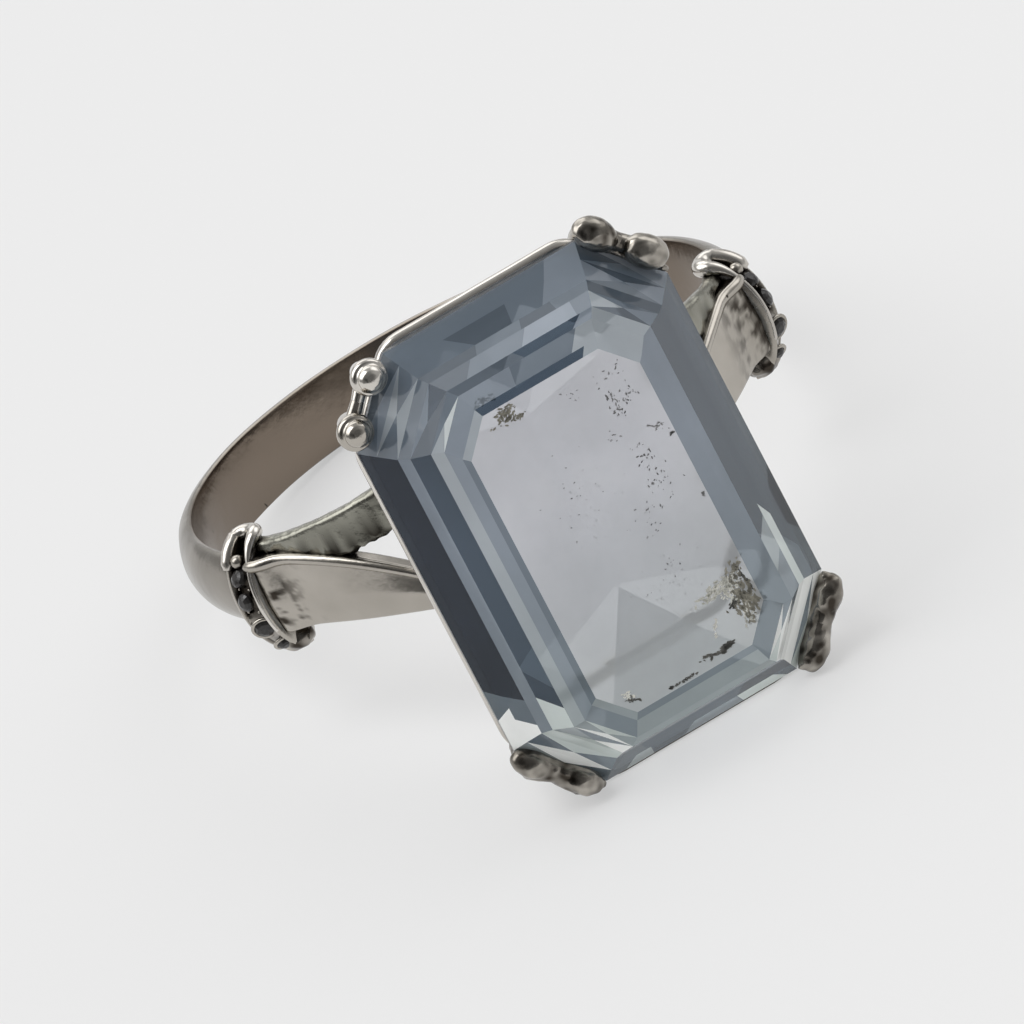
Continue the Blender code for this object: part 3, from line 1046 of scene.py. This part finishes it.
def arm_stations(edges, count):
    """Share, angle, and lower and upper edge at each station from the collar to the gallery."""
    for i in range(count + 1):
        share = i / count
        angle = ARM_START + (ARM_END - ARM_START) * share
        yield share, angle, arm_edge(edges[0], share), arm_edge(edges[1], share)


# Lower and upper edge of each arm: y at the collar, the fork and the gallery.
LOWER_ARM = ((-1.25, -1.62, -2.30), (1.48, 0.62, -1.60))
UPPER_ARM = ((1.53, 0.72, 1.40), (1.86, 2.26, 3.00))
PLATE_OUTER = 10.08
STRUT_OUTER = 9.98
PLATE_STEPS = 3
# Soot and painted shade on each plate beside its collar: how far it reaches, as a share of the arm,
# and where its patches begin.
PLATE_SOOT_AND_SHADE = {-1: (0.24, 0.10), 1: (0.38, -0.30)}
# Length of the plate's bead that runs into the collar.
BEAD_ROOT = 0.20


def plate_section(low, high, outer):
    """Rounded section of a plate, with extra points on its straight sides to carry the soot and
    painted shade.
    """
    outline = (
        (low, ARM_INNER),
        (high, ARM_INNER),
        (high, outer - 0.05),
        (high - 0.42, outer - 0.02),
        (low + (high - low) * 0.4, outer + 0.05),
        (low, outer - 0.08),
    )
    section = round_corners(outline, 0.12, PLATE_STEPS)
    fine = []
    for place, point in enumerate(section):
        after = section[(place + 1) % len(section)]
        on_corner = place % (PLATE_STEPS + 1) < PLATE_STEPS
        parts = 1 if on_corner else 9
        fine += [point.lerp(after, k / parts) for k in range(parts)]
    return fine


def build_lower_arm(side, material):
    """Broad pale plate with a rounded bead along its upper edge."""
    stations = []
    bead = []
    count = 64
    for share, angle, low, high in arm_stations(LOWER_ARM, count):
        shoulder = 0.42 * math.exp(-((share / 0.085) ** 2))
        outer = PLATE_OUTER + shoulder
        ring = []
        for y, radius in plate_section(low, high, outer):
            dent = 0.018 * noise.noise(Vector((angle * 0.12 * side, y * 1.1, 4.0)))
            ring.append(hoop_point(side, angle, radius + dent, y))
        stations.append(ring)
        bead.append(hoop_point(side, angle, outer - 0.09, high - 0.20))
    bm = loft(stations)
    soot_and_shade = bm.verts.layers.float.new("soot_and_shade")
    reach, patchy = PLATE_SOOT_AND_SHADE[side]
    # Darker beside the collar: painted shade where the plate meets the collar, broken into patches
    # of soot.
    for i, vert in enumerate(bm.verts):
        near_collar = smoothstep(reach, 0.04, i // len(stations[0]) / count)
        patch = noise.noise(vert.co * 2.4) + 0.5 * noise.noise(vert.co * 6.0)
        vert[soot_and_shade] = near_collar * smoothstep(patchy, 0.40, patch)
    root = bead[0] + (bead[0] - bead[1]).normalized() * BEAD_ROOT
    add_tube(bm, [root, *bead], lambda t: 0.215 * (1.0 - 0.30 * t), count=16, side=FINGER)
    hand = HANDS[side]
    piece(f"arm_{hand}_plate", bm, material, [f"arm_{hand}_lower"], 40.0)


def strut_point(side, angle, low, high, y, radius):
    """Point of a strut's skin and its soot: smooth on top, lumpy and black on its flank."""
    place = Vector((angle * 0.16 * side, y * 2.6, radius * 2.6))
    flank = smoothstep(high - 0.25 * (high - low), low + 0.1 * (high - low), y)
    lump = (0.04 + 0.13 * flank) * noise.noise(place)
    lump += (0.02 + 0.12 * flank) * noise.noise(place * 3.3)
    middle = Vector(((low + high) / 2, (ARM_INNER + STRUT_OUTER) / 2))
    out = (Vector((y, radius)) - middle).normalized()
    patchy = 0.55 + 1.9 * noise.noise(place * 1.9 + Vector((0.0, 5.0, 0.0)))
    point = hoop_point(side, angle, radius + out.y * lump - 0.06, y + out.x * lump)
    return point, clamp(0.12 + flank * patchy)


def build_upper_arm(side, material):
    """Rough-cast strut beside the plate."""
    stations = []
    dirt = []
    for share, angle, low, high in arm_stations(UPPER_ARM, 90):
        low += 0.22 * smoothstep(0.25, 0.9, share)
        outline = ((low, ARM_INNER), (high, ARM_INNER), (high, STRUT_OUTER), (low, STRUT_OUTER))
        ring = []
        for y, radius in round_corners(outline, 0.30, 5):
            point, amount = strut_point(side, angle, low, high, y, radius)
            ring.append(point)
            dirt.append(amount)
        stations.append(ring)
    bm = loft(stations)
    soot_and_shade = bm.verts.layers.float.new("soot_and_shade")
    bm.verts.ensure_lookup_table()
    for vert, amount in zip(bm.verts, dirt):
        vert[soot_and_shade] = amount
    hand = HANDS[side]
    piece(f"arm_{hand}_strut", bm, material, [f"arm_{hand}_upper"], 50.0)


# Sections of the rails: out from the frame's outline, up from its height.
SEAT_SECTION = (
    (-0.02, -0.02), (0.04, 0.02), (0.20, -0.10), (0.22, -0.30), (0.10, -0.62), (-0.40, -0.65),
    (-0.40, -0.06),
)
BASE_SECTION = ((0.0, 0.0), (-0.42, -0.06), (-0.42, -0.50), (-0.16, -0.50))


def build_rail(name, node, size, z, section, material):
    """Rounded wire frame of eight sides under the stone."""
    path = [Vector((point.x, point.y)) for point in octagon(*size, z)]
    path = round_corners(path, 0.5, 5)
    section = round_corners(section, 0.07, 3)
    stations = []
    for i, point in enumerate(path):
        along = (path[(i + 1) % len(path)] - path[i - 1]).normalized()
        outward = Vector((along.y, -along.x))
        ring = []
        for out, up in section:
            flat = point + outward * out
            ring.append((flat.x, flat.y, z + up))
        stations.append(ring)
    piece(name, loft(stations, closed=True), material, [node], 40.0)


def corner_point(half_x, half_y, cut, outward, along):
    """Point beside the middle of one corner cut, in the +X +Y quarter."""
    middle = Vector((half_x - CUT_X * cut / 2, half_y - CUT_Y * cut / 2))
    normal = Vector((CUT_Y, CUT_X)).normalized()
    edge = Vector((CUT_X, -CUT_Y)).normalized()
    return middle + normal * outward + edge * along


# Bead outlines: height and radius.
BRIMMED = (
    (-0.50, 0.36), (-0.40, 0.47), (-0.24, 0.57), (-0.08, 0.62), (0.04, 0.61), (0.12, 0.56),
    (0.15, 0.49), (0.20, 0.44), (0.32, 0.42), (0.44, 0.34), (0.53, 0.21), (0.57, 0.07),
)
SMOOTH = (
    (-0.50, 0.36), (-0.40, 0.47), (-0.24, 0.57), (-0.05, 0.62), (0.12, 0.605), (0.28, 0.55),
    (0.40, 0.46), (0.50, 0.33), (0.56, 0.20), (0.59, 0.07),
)


class ClawStyle(NamedTuple):
    """Shape and finish of one corner's two claws, which differ from corner to corner."""

    outline: tuple
    bead_z: float
    stretch: float  # of the bead along the cut
    size: float  # of the bead
    web_z: float
    web_radius: float
    lip_radius: float  # ragged lip against the stone
    shift: tuple  # along and out from the cut
    ragged: float  # depth of the casting's lumps
    sooty: float
    voxel: float


CLAW_STYLES = {
    "upper_left": ClawStyle(
        BRIMMED, bead_z=0.70, stretch=1.0, size=1.0, web_z=0.05, web_radius=0.24,
        lip_radius=0.0, shift=(0.0, 0.0), ragged=0.0, sooty=0.0, voxel=0.03,
    ),
    "upper_right": ClawStyle(
        SMOOTH, bead_z=0.52, stretch=1.36, size=0.92, web_z=0.26, web_radius=0.36,
        lip_radius=0.13, shift=(-0.34, 0.02), ragged=0.03, sooty=0.26, voxel=0.035,
    ),
    "lower_left": ClawStyle(
        SMOOTH, bead_z=0.30, stretch=1.50, size=0.78, web_z=0.14, web_radius=0.50,
        lip_radius=0.18, shift=(0.10, -0.24), ragged=0.04, sooty=0.50, voxel=0.035,
    ),
    "lower_right": ClawStyle(
        SMOOTH, bead_z=0.34, stretch=1.50, size=0.78, web_z=0.16, web_radius=0.50,
        lip_radius=0.20, shift=(0.0, -0.10), ragged=0.04, sooty=0.46, voxel=0.035,
    ),
}


def fuse(obj, style):
    """Melt overlapping shells into one soft cast skin, lumpy and blackened where it is ragged."""
    remesh = obj.modifiers.new("fuse", "REMESH")
    remesh.mode = "VOXEL"
    remesh.voxel_size = style.voxel * MM
    remesh.use_smooth_shade = True
    soften = obj.modifiers.new("soften", "SMOOTH")
    soften.factor = 0.5
    soften.iterations = 3
    bpy.context.view_layer.update()
    graph = bpy.context.evaluated_depsgraph_get()
    mesh = bpy.data.meshes.new_from_object(obj.evaluated_get(graph))
    obj.modifiers.clear()
    obj.data = mesh
    mesh.shade_smooth()
    if style.ragged:
        normals = [vert.normal.copy() for vert in mesh.vertices]
        dirt = []
        for vert, normal in zip(mesh.vertices, normals):
            place = vert.co / MM
            lump = noise.noise(place * 1.6) + 0.7 * noise.noise(place * 3.9)
            vert.co += normal * lump * style.ragged * MM
            vert.co.z = max(vert.co.z, 0.0)
            dirt.append(clamp(style.sooty - 0.9 * lump))
        soot_and_shade = mesh.attributes.new("soot_and_shade", "FLOAT", "POINT")
        soot_and_shade.data.foreach_set("value", dirt)


def build_claw(end, hand, place, material):
    """Wire claw with a bead tip, joined to its twin by a low web of metal."""
    mirror_x = 1 if hand == "right" else -1
    mirror_y = 1 if end == "upper" else -1
    lean = 1 if place == "side" else -1
    style = CLAW_STYLES[f"{end}_{hand}"]
    shift_along, shift_out = style.shift
    out = STANDOFF + shift_out
    foot_xy = corner_point(*LOWER_RAIL_SIZE, WIRE_R + SEAM, lean * FOOT_SPREAD)
    top_xy = corner_point(STONE_X, STONE_Y, 1.0, out, lean * TOP_SPREAD + shift_along)
    web_xy = corner_point(STONE_X, STONE_Y, 1.0, out - 0.02, shift_along)

    def flip(x, y, z):
        return Vector((x * mirror_x, y * mirror_y, z))

    foot = flip(*foot_xy, FOOT_Z)
    bend = flip(*top_xy, BEND_Z)
    neck = flip(*top_xy, style.bead_z - 0.2)
    edge = flip(CUT_X, -CUT_Y, 0.0).normalized()
    bm = bmesh.new()
    wire = [curve_point(foot, bend, neck, i / 16) for i in range(17)]
    add_tube(bm, wire, lambda t: WIRE_R * (0.92 + 0.10 * t), count=18, side=edge)
    bead = [(height * style.size, radius * style.size) for height, radius in style.outline]
    top = flip(*top_xy, style.bead_z)
    add_dome(bm, top, UP, edge, bead, count=32, stretch=style.stretch)
    web = [flip(*top_xy.lerp(web_xy, i / 8 * 1.02), style.web_z) for i in range(9)]
    add_tube(bm, web, lambda t: style.web_radius * (1.1 - 0.2 * t), count=16)
    if style.lip_radius:
        lip = []
        for i in range(13):
            along = lean * (TOP_SPREAD + 0.55) * (1 - i / 12)
            spot = corner_point(STONE_X, STONE_Y, 1.0, 0.12, along)
            wander = 0.10 * noise.noise(Vector((i * 0.8, lean * 3.0, mirror_x * 5.0)))
            lip.append(flip(*spot, 0.30 + wander))
        add_tube(bm, lip, style.lip_radius)
    node = f"claw_{end}_{hand}_{place}"
    obj = piece(f"{node}_bead", bm, material, [node], 60.0)
    fuse(obj, style)


# ---- stage


FLOOR_HALF = 3.0


def build_floor():
    bm = bmesh.new()
    bmesh.ops.create_grid(bm, x_segments=1, y_segments=1, size=FLOOR_HALF)
    floor = add_object("floor", bm)
    floor.data.materials.append(floor_material())


# Patches of the white sky, brighter or darker than its base: direction, the angles within which
# a patch is full and beyond which it is gone, in degrees, and how much it adds.
SKY = (
    ((-0.148, -0.812, 0.565), 22.0, 60.0, -0.30),
    ((-0.95, -0.30, 0.10), 15.0, 50.0, -0.20),
    ((-0.75, 0.35, 0.75), 10.0, 32.0, 2.3),
    ((0.85, 0.25, 0.60), 8.0, 30.0, 1.3),
    ((0.10, 0.80, 0.55), 8.0, 32.0, 1.5),
    ((-0.29, 0.11, 0.95), 6.0, 18.0, 3.4),
)
SKY_BASE = 0.449


def build_world():
    """Soft studio light: a white sky with four brighter and two darker patches."""
    world = bpy.data.worlds.new("studio")
    world.use_nodes = True
    nodes = world.node_tree.nodes
    links = world.node_tree.links
    background = nodes["Background"]
    place = nodes.new("ShaderNodeTexCoord").outputs["Generated"]
    level = None
    for direction, inner, outer, strength in SKY:
        dot = nodes.new("ShaderNodeVectorMath")
        dot.operation = "DOT_PRODUCT"
        links.new(place, dot.inputs[0])
        dot.inputs[1].default_value = Vector(direction).normalized()
        patch = nodes.new("ShaderNodeMapRange")
        patch.interpolation_type = "SMOOTHSTEP"
        links.new(dot.outputs["Value"], patch.inputs["Value"])
        patch.inputs["From Min"].default_value = math.cos(math.radians(outer))
        patch.inputs["From Max"].default_value = math.cos(math.radians(inner))
        total = nodes.new("ShaderNodeMath")
        total.operation = "MULTIPLY_ADD"
        links.new(patch.outputs["Result"], total.inputs[0])
        total.inputs[1].default_value = strength
        if level:
            links.new(level, total.inputs[2])
        else:
            total.inputs[2].default_value = SKY_BASE
        level = total.outputs["Value"]
    links.new(level, background.inputs["Strength"])
    background.inputs["Color"].default_value = (1.0, 1.0, 1.0, 1.0)
    bpy.context.scene.world = world


# Camera, in the ring's frame: direction towards it, its upward direction, the point that it
# looks at and its distance in millimetres; its lens and sensor in the usual millimetres.
CAMERA_SIDE = Vector((-0.147556, 0.305994, 0.940529))
CAMERA_UP = Vector((0.501033, 0.843019, -0.195664))
CAMERA_AIM = Vector((-2.2112, 1.2866, 0.0))
CAMERA_DISTANCE = 631.765
CAMERA_LENS = 703.86
CAMERA_SENSOR = 36.0


def build_camera():
    data = bpy.data.cameras.new("camera")
    data.lens = CAMERA_LENS
    data.sensor_width = CAMERA_SENSOR
    data.clip_start = 0.01
    camera = bpy.data.objects.new("camera", data)
    bpy.context.scene.collection.objects.link(camera)
    back = (TURN @ CAMERA_SIDE).normalized()
    right = (TURN @ CAMERA_UP).cross(back).normalized()
    up = back.cross(right)
    pose = Matrix((right, up, back)).transposed().to_4x4()
    pose.translation = TO_WORLD @ (CAMERA_AIM + CAMERA_SIDE * CAMERA_DISTANCE)
    camera.matrix_world = pose
    bpy.context.scene.camera = camera


def dress_cad_nodes(looks):
    """Give every CAD node the material of its slot."""
    slots = {part["node"]: part["material_slot"] for part in frame["record"]["subparts"]}
    for name, obj in frame["nodes"].items():
        obj.data.materials.clear()
        obj.data.materials.append(looks[slots[name]])


def build_metalwork(worn, polished, dark, shade_lifted_silver, accent):
    """All metal pieces, and the small stones in the collars."""
    build_shank(worn)
    for side in (-1, 1):
        build_cuff(side, worn)
        build_rim(side, polished)
        build_grains(side, worn)
        build_accents(side, accent)
        build_lower_arm(side, worn)
        build_upper_arm(side, dark)
    upper = (UPPER_RAIL_SIZE, UPPER_RAIL_Z, SEAT_SECTION, polished)
    # The lower rail takes the pale gallery silver: painted light over its shade.
    lower = (LOWER_RAIL_SIZE, LOWER_RAIL_Z, BASE_SECTION, shade_lifted_silver)
    build_rail("stone_seat_rail", "gallery_rail_upper", *upper)
    build_rail("gallery_base_rail", "gallery_rail_lower", *lower)
    for end in ("upper", "lower"):
        for hand in ("left", "right"):
            for place in ("side", "end"):
                bright = (end, hand, place) == ("upper", "left", "end")
                build_claw(end, hand, place, polished if bright else worn)


def main():
    worn, polished, dark, shade_lifted_silver = (silver(name, *look) for name, look in SILVERS.items())
    gem = gem_material()
    accent = dark_stone_material()
    looks = {
        "worn_silver": worn,
        "tarnished_silver": dark,
        "blue_grey_stone": gem,
        "dark_accent_stone": accent,
    }
    dress_cad_nodes(looks)
    build_stone(gem)
    build_inclusions()
    build_metalwork(worn, polished, dark, shade_lifted_silver, accent)
    build_floor()
    build_world()
    build_camera()
    bpy.context.scene.view_settings.view_transform = "Standard"


main()
bpy.context.view_layer.update()
